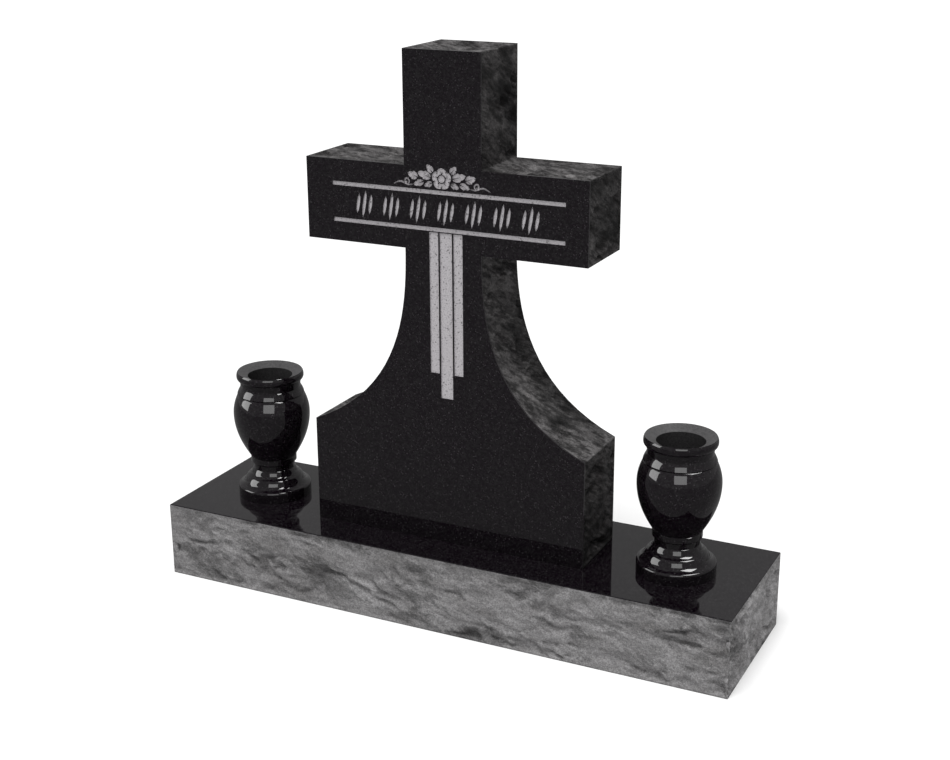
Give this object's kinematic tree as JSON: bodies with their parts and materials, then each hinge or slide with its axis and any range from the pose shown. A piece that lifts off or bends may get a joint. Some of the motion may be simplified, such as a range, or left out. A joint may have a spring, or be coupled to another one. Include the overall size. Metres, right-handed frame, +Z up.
{
  "type": "cross memorial",
  "caption": "Black granite cross memorial: a cross with a flared foot and frosted flower and band carving, on a long rock-pitched base between turned flower vases.",
  "frame": {"origin": "middle of the base's underside", "axes": "+X along the base, to the right as the carved front is seen; +Y to the back, so the carved front faces -Y; +Z up"},
  "size_m": [1.168, 0.307, 1.0683],
  "materials": {
    "rock_pitched_granite": "rock-pitched sides in mid grey with darker hollows, and a mirror-polished black top",
    "carved_granite": "polished near-black front and back with fine specks, rock-pitched edges, and pale frosted carving",
    "polished_granite": "polished black, with fine specks"
  },
  "bodies": {
    "root": {"base": "rock_pitched_granite", "cross": "carved_granite", "vase_left": "polished_granite", "vase_right": "polished_granite"}
  },
  "joints": []
}
